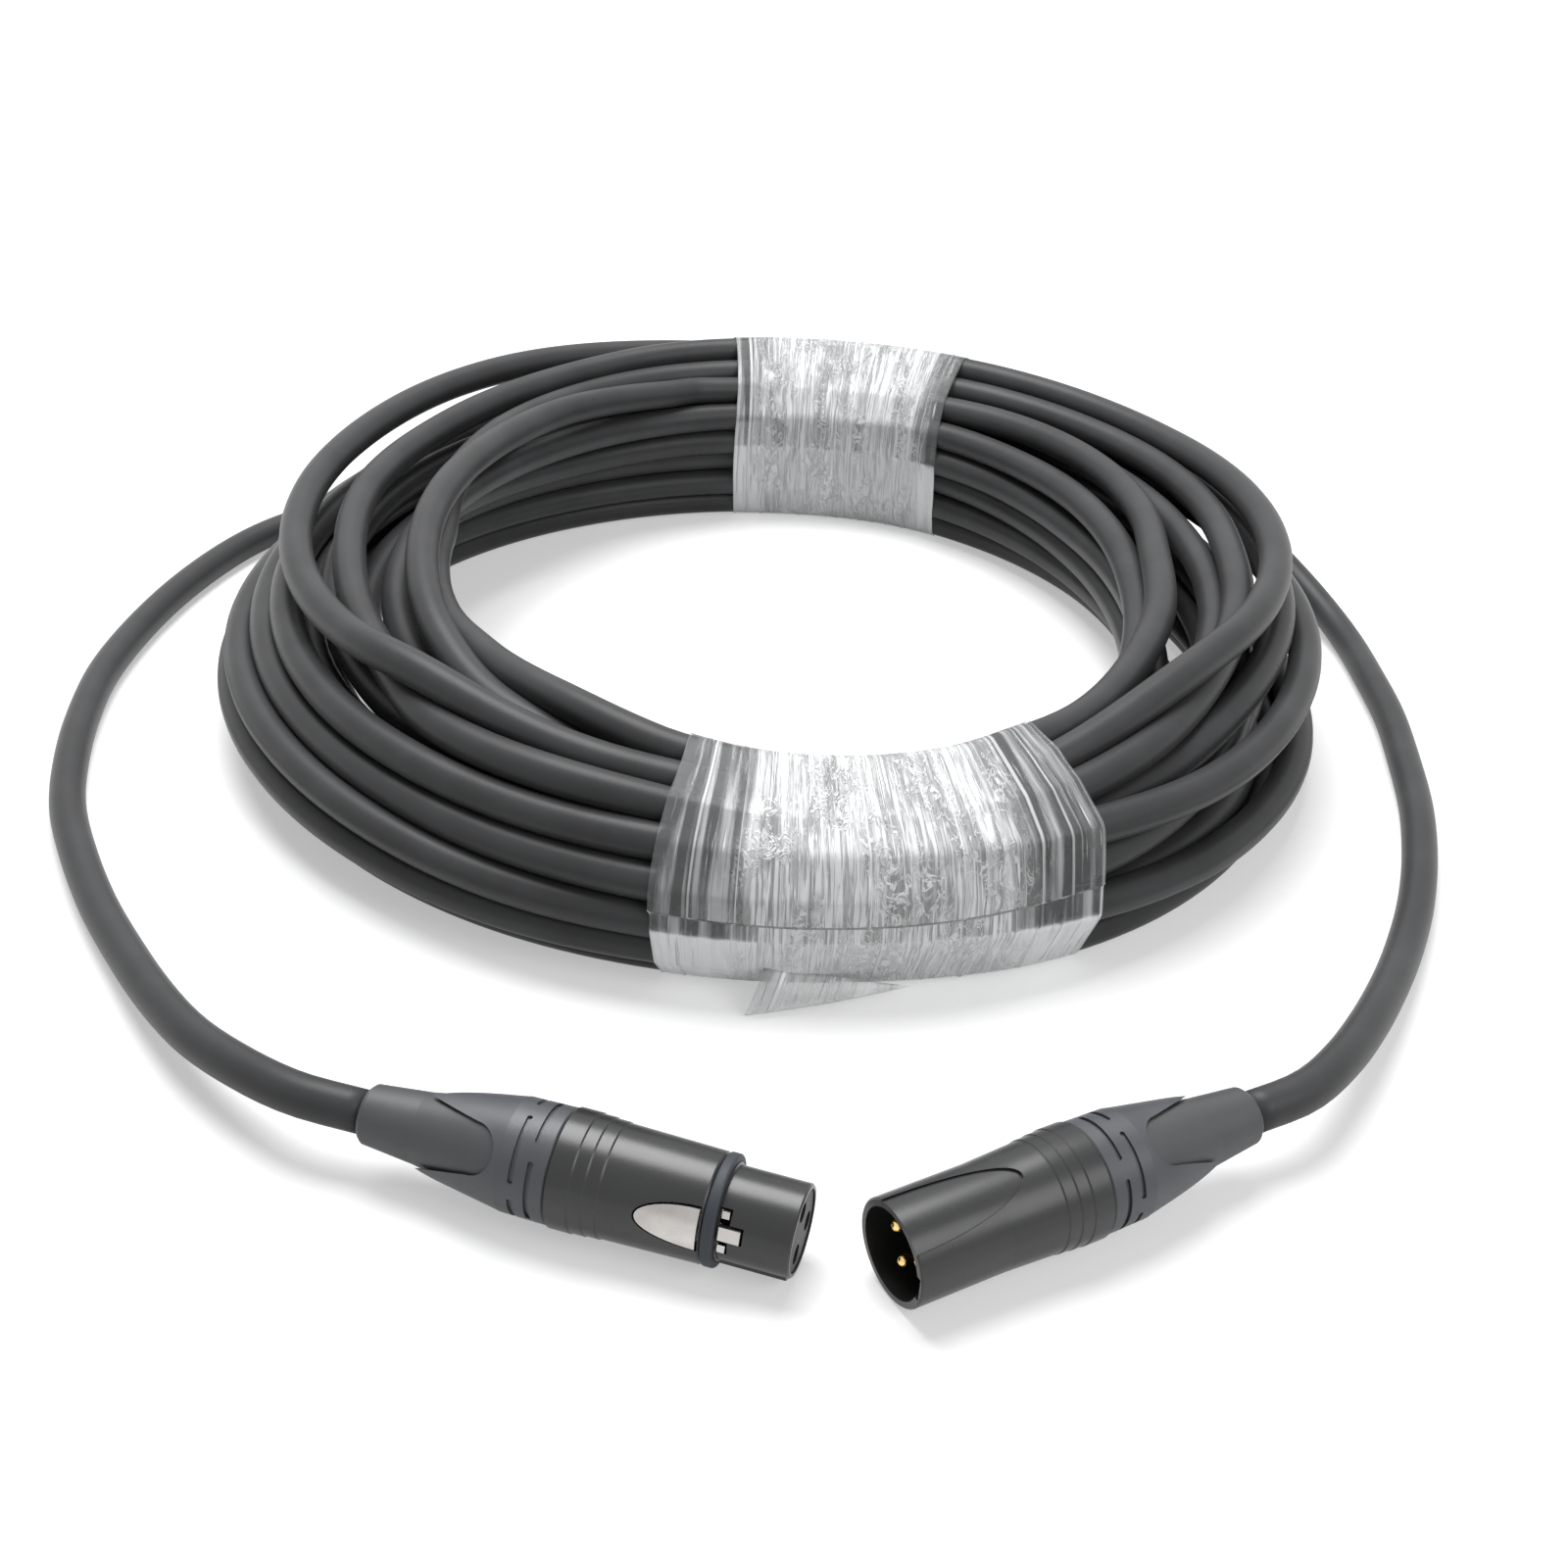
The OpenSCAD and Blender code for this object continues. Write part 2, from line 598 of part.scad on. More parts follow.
module male_shell() {
    color([0.09, 0.09, 0.10]) at_male() difference() {
        rotate_extrude($fn = 128) polygon(concat([
            [mouth_r, 0], [mouth_r + mouth_wall - mouth_chamfer, 0],
            [mouth_r + mouth_wall, mouth_chamfer], [mouth_r + mouth_wall, barrel_len]],
            shell_rear(male_len),
            [[cavity_r, male_insert_back + 0.4], [mouth_r, male_insert_back + 0.4]]));
        // keyway for the guide rib and pocket for the tongue
        rotate([0, 0, -rib_at]) translate([-rib_w / 2 - 0.2, 0, -cut])
            cube([rib_w + 0.4, mouth_r + rib_h + 0.1, mouth_depth - 1]);
        translate([-tongue_w / 2 - 0.4, 0, tongue_z - 0.8])
            cube([tongue_w + 0.8, tongue_top + 0.15, tongue_reach]);
        // shallow field, half an oval, left bare
        field();
    }
}
barrel_len = 18;              // straight front of the male shell
field_depth = 0.3;
field_len = 23.5;
field_half = 5.8;
module field() {
    intersection() {
        difference() {
            rod(shell_r + 2, -cut, field_len + 1);
            rod(mouth_r + mouth_wall - field_depth, -2 * cut, field_len + 2);
        }
        rotate([-90, 0, 0]) linear_extrude(height = shell_r + 2) polygon(concat([[field_half, 2 * cut]],
            [for (a = [0:6:180]) [field_half * cos(a), -field_len * sin(a)]], [[-field_half, 2 * cut]]));
    }
}

module male_insert() {
    color([0.05, 0.05, 0.055]) at_male() difference() {
        rod(mouth_r - fit, mouth_depth, male_insert_back);
        on_contacts() rod(contact_r + fit, mouth_depth - cut, male_insert_back + cut);
    }
}

module male_pins() {
    color([0.83, 0.66, 0.30]) at_male() on_contacts() difference() {
        union() {
            translate([0, 0, pin_recess + pin_r]) sphere(r = pin_r, $fn = 32);
            rod(pin_r, pin_recess + pin_r, mouth_depth);
            rod(contact_r, mouth_depth, male_cup_z);
        }
        rod(cup_r, male_cup_z - cup_depth, male_cup_z + cut);
    }
}

module male_ground_ring() {
    color([0.74, 0.72, 0.68]) at_male()
        ground_ring(male_insert_back + 0.5);
}

module cable_coil() { color([0.16, 0.16, 0.17]) tube(coil_path, cable_r, coil_sides); }
module cable_tail_female() { color([0.16, 0.16, 0.17]) tube(female_route, cable_r, tail_sides); }
module cable_tail_male() { color([0.16, 0.16, 0.17]) tube(male_route, cable_r, tail_sides); }

// Film wound tightly round the bundle: a closed sleeve with rounded corners
module rounded(low, high, r) {
    translate([low[0] + r, low[1]]) square([high[0] - low[0] - 2 * r, high[1] - low[1]]);
    translate([low[0], low[1] + r]) square([high[0] - low[0], high[1] - low[1] - 2 * r]);
    for (x = [low[0] + r, high[0] - r]) for (y = [low[1] + r, high[1] - r])
        translate([x, y]) circle(r = r, $fn = 48);
}
module film(middle, span) {
    room = cable_r + film_gap;
    inside_low = [coil_r - room, film_t];
    inside_high = [coil_out_r + room, coil_top_z + flat_r + film_gap];
    scale([1, coil_stretch, 1]) rotate([0, 0, middle - span / 2])
    rotate_extrude(angle = span, $fn = 180) difference() {
        rounded(inside_low - [film_t, film_t], inside_high + [film_t, film_t], room - 1 + film_t);
        rounded(inside_low, inside_high, room - 1);
    }
}
module wrap_front() { color([0.80, 0.82, 0.84, 0.5]) film(front_wrap_at, front_wrap_span); }
module wrap_rear() { color([0.80, 0.82, 0.84, 0.5]) film(rear_wrap_at, rear_wrap_span); }

female_shell();
female_insert();
female_contacts();
female_latch();
latch_spring();
latch_pin();
female_seal_ring();
female_ground_ring();
female_cores();
female_chuck();
female_collar();
female_boot();
female_cable_end();
male_shell();
male_insert();
male_pins();
male_ground_ring();
male_cores();
male_chuck();
male_collar();
male_boot();
male_cable_end();
cable_coil();
cable_tail_female();
cable_tail_male();
wrap_front();
wrap_rear();
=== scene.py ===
import json
import math
import bpy
import numpy as np
from mathutils import Matrix, Vector


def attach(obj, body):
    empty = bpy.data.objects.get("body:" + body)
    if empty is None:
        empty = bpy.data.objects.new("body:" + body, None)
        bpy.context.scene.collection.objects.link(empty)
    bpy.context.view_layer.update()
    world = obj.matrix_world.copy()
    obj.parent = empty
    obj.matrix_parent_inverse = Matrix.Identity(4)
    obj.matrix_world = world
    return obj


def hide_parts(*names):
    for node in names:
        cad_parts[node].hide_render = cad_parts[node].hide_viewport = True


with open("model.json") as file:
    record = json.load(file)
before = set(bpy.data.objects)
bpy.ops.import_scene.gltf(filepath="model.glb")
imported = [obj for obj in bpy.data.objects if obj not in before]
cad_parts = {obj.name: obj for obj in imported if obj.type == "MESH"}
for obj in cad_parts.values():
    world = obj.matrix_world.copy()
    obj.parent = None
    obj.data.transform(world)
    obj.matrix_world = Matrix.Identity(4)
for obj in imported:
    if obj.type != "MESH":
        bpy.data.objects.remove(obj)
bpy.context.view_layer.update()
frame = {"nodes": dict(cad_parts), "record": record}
mm = 0.001

cameraView = {
    "place": (3, -458, 235.1),       # in mm
    "pitch": 29.855,                 # degrees below the horizon
    "roll": -3.0,
    "lens": 45.0,
    "sensor": 36.0,
    "clip": (0.01, 20),
}


# The camera looks along Y by the cosine of its pitch and down by the sine. Its level right and its
# upright are both turned about that line by the roll.
def makeCamera():
    pitch, roll = math.radians(cameraView["pitch"]), math.radians(cameraView["roll"])
    sinPitch, cosPitch = math.sin(pitch), math.cos(pitch)
    sinRoll, cosRoll = math.sin(roll), math.cos(roll)
    right = (cosRoll, -sinRoll * sinPitch, -sinRoll * cosPitch)
    up = (sinRoll, cosRoll * sinPitch, cosRoll * cosPitch)
    ahead = (0, cosPitch, -sinPitch)
    data = bpy.data.cameras.new("viewCamera")
    data.lens = cameraView["lens"]
    data.sensor_width = cameraView["sensor"]
    data.sensor_fit = "HORIZONTAL"
    data.clip_start, data.clip_end = cameraView["clip"]
    camera = bpy.data.objects.new("viewCamera", data)
    place = [v * mm for v in cameraView["place"]]
    rows = [[right[i], up[i], -ahead[i], place[i]] for i in range(3)]
    camera.matrix_world = Matrix(rows + [[0, 0, 0, 1]])
    bpy.context.scene.collection.objects.link(camera)
    bpy.context.scene.camera = camera


makeCamera()
print("camera placed")


# A surface from a grid of points, rows along it and columns around it. The last column joins
# the first where it is closed around, and each end is closed by a fan about its middle point.
def gridMesh(name, points, closedAround=True, caps=False, uv=None):
    rows, cols = points.shape[:2]
    vertices = points.reshape(-1, 3)
    i, j = np.meshgrid(np.arange(rows - 1), np.arange(cols if closedAround else cols - 1), indexing="ij")
    here, below = i * cols, (i + 1) * cols
    beside = (j + 1) % cols
    faces = np.stack([here + j, here + beside, below + beside, below + j], -1).reshape(-1, 4).tolist()
    if caps:
        middle = len(vertices)
        vertices = np.concatenate([vertices, points[0].mean(0)[None], points[-1].mean(0)[None]])
        ring, after = np.arange(cols), (np.arange(cols) + 1) % cols
        last = (rows - 1) * cols
        faces += np.stack([np.full(cols, middle), after, ring], -1).tolist()
        faces += np.stack([np.full(cols, middle + 1), last + ring, last + after], -1).tolist()
    mesh = bpy.data.meshes.new(name)
    mesh.from_pydata(vertices.tolist(), [], faces)
    if uv is not None:
        layer = mesh.uv_layers.new(name="surface")
        index = np.zeros(len(mesh.loops), np.int32)
        mesh.loops.foreach_get("vertex_index", index)
        flat = np.concatenate([uv.reshape(-1, 2), uv[0].mean(0)[None], uv[-1].mean(0)[None]])
        layer.data.foreach_set("uv", flat[index].astype(np.float32).ravel())
    mesh.polygons.foreach_set("use_smooth", np.ones(len(mesh.polygons), bool))
    mesh.update()
    obj = bpy.data.objects.new(name, mesh)
    bpy.context.scene.collection.objects.link(obj)
    return obj


# A curve through points: between two of them it is the cubic whose slope at each point is
# half the step from the point before to the point after.
def smoothPath(points, perStep):
    p = np.concatenate([2 * points[:1] - points[1:2], points, 2 * points[-1:] - points[-2:-1]])
    t = (np.arange(perStep) / perStep)[None, :, None]
    a, b, c, d = (p[i:len(p) - 3 + i][:, None] for i in range(4))
    squared = 2 * a - 5 * b + 4 * c - d
    cubed = 3 * b - a - 3 * c + d
    curve = 0.5 * (2 * b + (c - a) * t + squared * t ** 2 + cubed * t ** 3)
    return np.concatenate([curve.reshape(-1, points.shape[1]), points[-1:]])


# The same curve with its points an even distance apart, each coordinate read off by length.
def evenPath(points, step):
    length = np.concatenate([[0], np.cumsum(np.linalg.norm(np.diff(points, axis=0), axis=1))])
    at = np.linspace(0, length[-1], int(round(length[-1] / step)) + 1)
    return np.stack([np.interp(at, length, points[:, i]) for i in range(3)], 1)


cable = {
    "diameter": 8.0,
    "lead": 14.0,                         # straight out of each boot
    # each connector: the middle of its front face, its direction, its dip, its length with the boot
    "femaleTip": (10, -213, 9.295), "femaleYaw": 164.5, "femaleTilt": 1.8, "femaleLength": 79.3,
    "maleTip": (24.5, -217.5, 9.55), "maleYaw": 30.5, "maleTilt": 1.6, "maleLength": 75.0,
    "ringStep": 4.0, "sides": 20,         # mm from ring to ring, and points in each
    "girth": 0.025,                       # metres round it, for its UV map
    "endSteps": 8, "coilSteps": 3,        # points from each given point to the next
    # each free end from its boot to the coil: x, y, z
    "femaleWay": (
        (-92, -180, 10.9), (-104.5, -168.5, 8.8), (-116, -154, 6.6), (-127, -138, 4.9),
        (-138, -121, 4.1), (-148, -103, 4), (-157, -84, 4), (-163, -65, 4), (-168, -42, 4),
        (-171, -16, 4), (-170, 12, 4), (-166, 39, 4), (-159, 64, 4), (-150, 82, 4),
        (-137, 97, 4), (-120, 109, 4), (-101, 117, 4), (-84, 122, 4), (-68, 126, 4),
    ),
    "maleWay": (
        (111, -160, 10.4), (120, -145, 8.2), (128.5, -128.5, 6.1), (136, -112, 4.7),
        (143, -94, 4.1), (149, -74, 4), (154, -51, 4), (157, -27, 4), (159, -4, 4),
        (159, 18, 4), (158, 40, 4.3), (153.5, 59, 7), (145, 75, 12.5), (132.5, 88.5, 20.5),
        (116, 99, 30), (97, 108, 39.5),
    ),
}

coil = {
    "start": 105.0, "end": 62.0,          # angles at which the cable enters and leaves it
    "turns": 18, "topTurns": 3, "perRow": 3,
    "stations": 96,                       # places round the coil at which the strands are arranged
    "keys": (-80.0, 0.0, 83.0, 180.0),    # front, right, rear, left
    # six rows of three strands: inner radius, outer radius, inner height, outer height at those keys
    "rows": (
        ((116, 100, 124, 121), (130, 130.5, 140, 136.5), (4.4, 4, 4.4, 4), (4.4, 4, 4.4, 4)),
        ((114.5, 95, 122.5, 116), (133.5, 132, 142, 136.5), (11, 12.2, 12, 12.2), (11, 12, 12.3, 12)),
        ((114, 91, 121, 111), (135.5, 132, 142.5, 135.5), (18, 20.4, 20, 20.4), (17.5, 20, 20.6, 20)),
        ((114, 90, 120, 104), (135.5, 131, 142, 130), (25, 28.6, 27.5, 28.6), (24, 28.3, 29, 28.3)),
        ((115, 90, 121.5, 94), (133, 128, 140, 123), (32, 36.5, 33, 36.6), (30, 36.2, 37.5, 36)),
        ((116, 90, 127, 85), (127, 122, 137, 117), (38, 43.5, 39.5, 43), (33.2, 45, 47.5, 43.5)),
    ),
    # the last three turns: turns from the start, radius, height
    "topPlaces": (
        (15.00, 117.8, 40), (15.02, 121.5, 39.8), (15.06, 125, 39.5), (15.12, 119, 41),
        (15.29, 90, 43.5), (15.38, 96, 42), (15.47, 115, 38.5), (15.567, 113, 38.3),
        (15.61, 107.5, 39.5), (15.65, 101, 41), (15.72, 91.5, 43), (15.79, 87.5, 43.8),
        (15.86, 97, 43.5), (15.93, 114, 42), (15.965, 123.5, 41.5), (16.00, 129.5, 42),
        (16.06, 132, 43.5), (16.12, 130, 44), (16.20, 119, 44), (16.29, 107, 44), (16.38, 109, 42),
        (16.47, 124, 36.5), (16.567, 125.5, 34.5), (16.64, 117, 36), (16.70, 110, 39), (16.75, 107, 42),
        (16.79, 108, 44), (16.875, 114, 45), (16.92, 122, 46), (16.965, 129, 46.8), (17.00, 133, 47.3),
        (17.06, 136.5, 47.3), (17.108, 137.5, 47.5), (17.178, 134, 48.5), (17.26, 126.5, 50.5),
        (17.331, 122, 50.5), (17.40, 117, 47.5), (17.46, 117, 41), (17.514, 119, 38.5),
        (17.567, 118, 38.5), (17.62, 115.5, 40.5), (17.68, 114.5, 42.5), (17.75, 116, 44),
        (17.79, 117.5, 44.5), (17.86, 123, 46), (17.92, 133, 47), (17.96, 141, 46.5), (18.00, 144, 45),
        (18.06, 144, 43.5), (18.12, 142.5, 43),
    ),
    "topRounding": 9,                         # stations in the running mean
    "shiftFrom": 0.08, "shiftSpread": 0.5,    # where in its turn a strand starts for its next place
    "shift": 0.34,                            # share of a turn that it takes
    "wanderOut": 2.5, "wanderUp": 3.5,        # how far the strands stray from their rows, in mm
    "wanderSines": 5, "wanderOver": 2.5,      # how many sines, and what their sum is divided by
    "wanderWaves": (0.55, 1.6),               # per turn
    "seed": 7,
}


# Zero before 0, one after 1, and a smooth step between: 3 t squared less 2 t cubed.
def ease(t):
    t = np.clip(t, 0, 1)
    return t * t * (3 - 2 * t)


# A value given at the four key angles, eased from each key to the next. Radii, which are all over
# 60 mm while heights are under it, are eased as one over their square, as in an ellipse.
def betweenKeys(values, angle):
    keys = np.array(coil["keys"] + (coil["keys"][0] + 360,))
    values = np.append(values, values[0]).astype(float)
    power = -2.0 if values.min() > 60 else 1.0
    values = values ** power
    a = (angle - keys[0]) % 360 + keys[0]
    i = np.clip(np.searchsorted(keys, a, side="right") - 1, 0, len(keys) - 2)
    t = ease((a - keys[i]) / (keys[i + 1] - keys[i]))
    return (values[i] * (1 - t) + values[i + 1] * t) ** (1 / power)


# Radius and height of one of the eighteen places in the bundle, filled in snake order.
def slotPlace(slot, angle):
    row, col = min(slot // coil["perRow"], len(coil["rows"]) - 1), slot % coil["perRow"]
    last = coil["perRow"] - 1
    share = (last - col if row % 2 == 0 else col) / last
    low, high, lowZ, highZ = (betweenKeys(coil["rows"][row][q], angle) for q in range(4))
    return np.stack([low + (high - low) * share, lowZ + (highZ - lowZ) * share], 1)


# A slow stray along the cable: a sum of sines of the turns, each with its own waves per turn and its
# own start, over a fixed number.
def wander(rng, turnsAt):
    speed = rng.uniform(*coil["wanderWaves"], (coil["wanderSines"], 1))
    start = rng.random((coil["wanderSines"], 1))
    return np.sin(2 * np.pi * (turnsAt[None] * speed + start)).sum(0) / coil["wanderOver"]


# The planned way of the cable, clockwise. In each turn it moves over from its place in the bundle to
# the next one. The last three turns lie on top and follow places of their own, which are joined by
# straight lines and then drawn round by a running mean.
def planCoil(u, angle, rng):
    begin = coil["shiftFrom"] + coil["shiftSpread"] * rng.random(coil["turns"] + 2)
    plan = np.zeros((len(u), 2))
    rowTurns = coil["turns"] - coil["topTurns"]
    for turn in range(rowTurns):
        here = np.floor(u) == turn
        share = ease((u[here] - turn - begin[turn]) / coil["shift"])[:, None]
        plan[here] = slotPlace(turn, angle[here]) * (1 - share) + slotPlace(turn + 1, angle[here]) * share
    places = np.array(coil["topPlaces"])
    top = u >= rowTurns
    wide = coil["topRounding"]
    window = np.hanning(wide + 2)[1:-1]
    for axis in (0, 1):
        line = np.interp(u[top], places[:, 0], places[:, 1 + axis])
        padded = np.pad(line, wide // 2, mode="edge")
        plan[top, axis] = np.convolve(padded, window / window.sum(), mode="valid")
    loose = ease(wrapDistance(angle))
    plan[:, 0] += coil["wanderOut"] * wander(rng, u) * loose
    plan[:, 1] += coil["wanderUp"] * wander(rng, u) * loose
    return plan, loose


winding = {
    "steps": 400,
    "gap": 8.05, "push": 0.3,             # mm between strands, and the share of an overlap undone
    "calm": 0.45,                         # share drawn to the neighbours' mean, and in the last steps
    "calmLast": 0.15, "lastSteps": 40,
    "pull": 0.03, "pullLater": 0.012,     # share drawn to the plan, in each half of the steps
    "limitPull": 0.5,                     # share drawn back inside the outline
    "lowest": 4.2, "lift": 0.4,           # the lowest row, and what the film under it adds
    "outside": 0.4, "inside": 1.2,        # mm past the outline
    # from one turn on, and in full a share of a turn later, the strands may lie further out
    "topFrom": 16.9, "topOver": 0.1, "topOutside": 8,
    "lid": 0.7, "lidLoose": 7,            # mm above the top row, and how much more between the wraps
}


# Strands that cross a station push each other until they are a gap apart. Meanwhile the cable is
# drawn towards its plan and towards the mean of its neighbours along itself, where the nearer ones
# count four times. It is kept inside the bundle's outline, which is read between the rows by height.
def windCoil():
    stations = coil["stations"]
    turns = coil["turns"] + (coil["start"] - coil["end"]) / 360
    count = int(round(turns * stations))
    u = np.arange(count + 1) / stations
    angle = coil["start"] - 360 * u
    rng = np.random.default_rng(coil["seed"])
    plan, loose = planCoil(u, angle, rng)
    inner, outer, innerZ, outerZ = (np.array([betweenKeys(row[q], angle) for row in coil["rows"]])
                                    for q in range(4))
    spaces = len(coil["rows"]) - 1        # between the rows
    topZ, each = (innerZ[-1] + outerZ[-1]) / 2, np.arange(count + 1)
    place, rounds = plan.copy(), coil["turns"] + 1
    spare = np.full((rounds * stations - count - 1, 2), np.nan)
    lowest, gap, limitPull = winding["lowest"], winding["gap"], winding["limitPull"]
    floor = cable["diameter"] / 2 + winding["lift"] * (1 - loose)
    onTop = ease((u - winding["topFrom"]) / winding["topOver"])
    slope = (outerZ[-1] - innerZ[-1]) / (outer[-1] - inner[-1])
    free = np.maximum(innerZ[-1], outerZ[-1]) + winding["lidLoose"]
    for step in range(winding["steps"]):
        grid = np.concatenate([place, spare]).reshape(rounds, stations, 2).transpose(1, 0, 2)
        apart = grid[:, :, None] - grid[:, None]
        size = np.sqrt((apart ** 2).sum(-1)) + 1e-9
        near = (size < gap) & (size > 1e-6)
        push = np.where(near, (gap - size) / size, 0)
        move = (push[..., None] * np.nan_to_num(apart)).sum(2) * winding["push"]
        stray = place - plan
        even = stray.copy()
        even[2:-2] = (stray[:-4] + 4 * stray[1:-3] + 4 * stray[3:-1] + stray[4:]) / 10
        calm = winding["calm"] if step < winding["steps"] - winding["lastSteps"] else winding["calmLast"]
        pull = winding["pull"] if step < winding["steps"] / 2 else winding["pullLater"]
        place = (place + move.transpose(1, 0, 2).reshape(-1, 2)[:count + 1]
                 + (even - stray) * calm - stray * pull)
        rowAt = np.clip((place[:, 1] - lowest) / (topZ - lowest) * spaces, 0, spaces - 0.001)
        row, part = rowAt.astype(int), rowAt % 1
        most = outer[row, each] * (1 - part) + outer[row + 1, each] * part
        most = most + winding["outside"] + winding["topOutside"] * onTop
        least = inner[row, each] * (1 - part) + inner[row + 1, each] * part - winding["inside"]
        place[:, 0] += limitPull * (np.clip(place[:, 0], least, most) - place[:, 0])
        tight = innerZ[-1] + slope * (place[:, 0] - inner[-1])
        lid = tight * (1 - loose) + free * loose + winding["lid"]
        place[:, 1] += limitPull * (np.minimum(place[:, 1], lid) - place[:, 1])
        place[:, 1] = np.maximum(place[:, 1], floor)
    return u, angle, place


film = {
    "front": {"middle": -79.5, "span": 39.0, "seed": 11, "rows": 150, "cols": 260},
    "rear": {"middle": 83.0, "span": 31.0, "seed": 23, "rows": 110, "cols": 240},
    "lift": 0.16,                         # from the cable's surface to the film's inner side
    "thickness": 0.16,
    "tight": 0.2,                         # share of the span, each way, in which strands don't stray
    "looseAfter": 45.0,                   # degrees from there to where they stray in full
    "radius": 124.0,                      # mean radius, to turn angles into lengths
    "creases": ((9, 3.2, 60, 1.0), (7, 1.7, 25, 0.6)),    # sines, lengths along and round, share
    "creaseHeight": 0.4,
    "stray": 1.6, "straySines": 4, "strayLength": 70,     # how the two edges wander
    "edges": 720, "leastFacing": 0.02,    # directions tried for the outline, and least cosine used
    "lowest": 0.02,
}


# How far an angle lies outside the nearer film wrap, as a share of the way to the coil's sides.
def wrapDistance(angle):
    off = [np.abs((angle - w["middle"] + 180) % 360 - 180) - w["span"] * film["tight"]
           for w in (film["front"], film["rear"])]
    return np.maximum(np.minimum(*off) / film["looseAfter"], 0)


# The direction from a connector's front to its boot, from its yaw and its tilt.
def wayOut(yaw, tilt):
    yaw, tilt = math.radians(yaw), math.radians(tilt)
    return np.array([math.cos(yaw) * math.cos(tilt), math.sin(yaw) * math.cos(tilt), math.sin(tilt)])


# From a boot straight out for the length of the lead, then through the points of the free end.
def freeEnd(side):
    out = wayOut(cable[side + "Yaw"], cable[side + "Tilt"])
    leaves = np.array(cable[side + "Tip"]) + cable[side + "Length"] * out
    way = np.array(cable[side + "Way"], float)
    return np.concatenate([[leaves, leaves + cable["lead"] * out], way])


# From the female boot round the left, through all the turns, and round the right to the male boot.
# Each free end is drawn on over three points of the coil, so that it joins in its direction, and
# those three steps are then cut off.
def cableRoute(angle, place):
    turn = np.radians(angle)
    wound = np.stack([place[:, 0] * np.cos(turn), place[:, 0] * np.sin(turn), place[:, 1]], 1)
    first, last = freeEnd("female"), freeEnd("male")[::-1]
    shared = 3 * cable["endSteps"]
    first = smoothPath(np.concatenate([first, wound[1:6:2]]), cable["endSteps"])[:-shared]
    last = smoothPath(np.concatenate([wound[-6:-1:2], last]), cable["endSteps"])[shared:]
    middle = smoothPath(wound[1:-1], cable["coilSteps"])
    return evenPath(np.concatenate([first, middle, last]), cable["ringStep"]) * mm


# Rings of points square to the path: the radius times the cosine of the angle on the level side
# vector, and times its sine on the vector square to both.
def cableMesh(path):
    ahead = np.gradient(path, axis=0)
    ahead /= np.linalg.norm(ahead, axis=1)[:, None]
    side = np.stack([ahead[:, 1], -ahead[:, 0], np.zeros(len(path))], 1)
    side /= np.linalg.norm(side, axis=1)[:, None]
    up = np.cross(side, ahead)
    a = np.linspace(0, 2 * np.pi, cable["sides"], endpoint=False)[None, :, None]
    radius = cable["diameter"] / 2 * mm
    rings = path[:, None] + radius * (np.cos(a) * side[:, None] + np.sin(a) * up[:, None])
    rings[..., 2] = np.maximum(rings[..., 2], 0)
    length = np.concatenate([[0], np.cumsum(np.linalg.norm(np.diff(path, axis=0), axis=1))])
    uv = np.stack(np.broadcast_arrays(length[:, None], a[..., 0] / (2 * np.pi) * cable["girth"]), -1)
    return gridMesh("microphone_cable", rings[:, ::-1], caps=True, uv=uv[:, ::-1]), length[-1]


turnShare, turnAngle, bundle = windCoil()
route = cableRoute(turnAngle, bundle)
cableObject, cableLength = cableMesh(route)
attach(cableObject, "cable_set")
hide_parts("cable_coil", "cable_tail_female", "cable_tail_male")
print("cable wound, length", round(float(cableLength), 3), "m")


# Radius and height of every strand at each of the angles, read from the wound cable.
def strandsAt(angle):
    first = (coil["start"] - angle) / 360 % 1
    u = first[:, None] + np.arange(coil["turns"] + 1)[None]
    r, z = np.interp(u, turnShare, bundle[:, 0]), np.interp(u, turnShare, bundle[:, 1])
    over = (u > turnShare[-1])[..., None]                # past the cable's end the first turn stands in
    places = np.stack([r, z], -1)
    return np.where(over, places[:, :1], places)


# The mean of several sines, each with 0.6 to 1.4 waves in the given lengths, leaning to one side or
# the other, from a random start.
def waves(rng, x, y, count, lengthX, lengthY):
    total = np.zeros(np.broadcast(x, y).shape)
    for _ in range(count):
        perX = (0.6 + 0.8 * rng.random()) / lengthX
        perY = (0.6 + 0.8 * rng.random()) / lengthY
        total += np.sin(2 * np.pi * (perX * x + rng.choice([-1, 1]) * perY * y + rng.random())) / count
    return total


# The least distance, over all edges that face a direction, from the bundle's middle to that edge:
# the edge's reach over the cosine between the two.
def outlineDistance(reach, edges, around):
    facing = np.cos(edges[None] - around[:, None])
    facing = np.where(facing > film["leastFacing"], facing, np.nan)
    return np.nanmin(reach[:, None] / facing[None], axis=2)


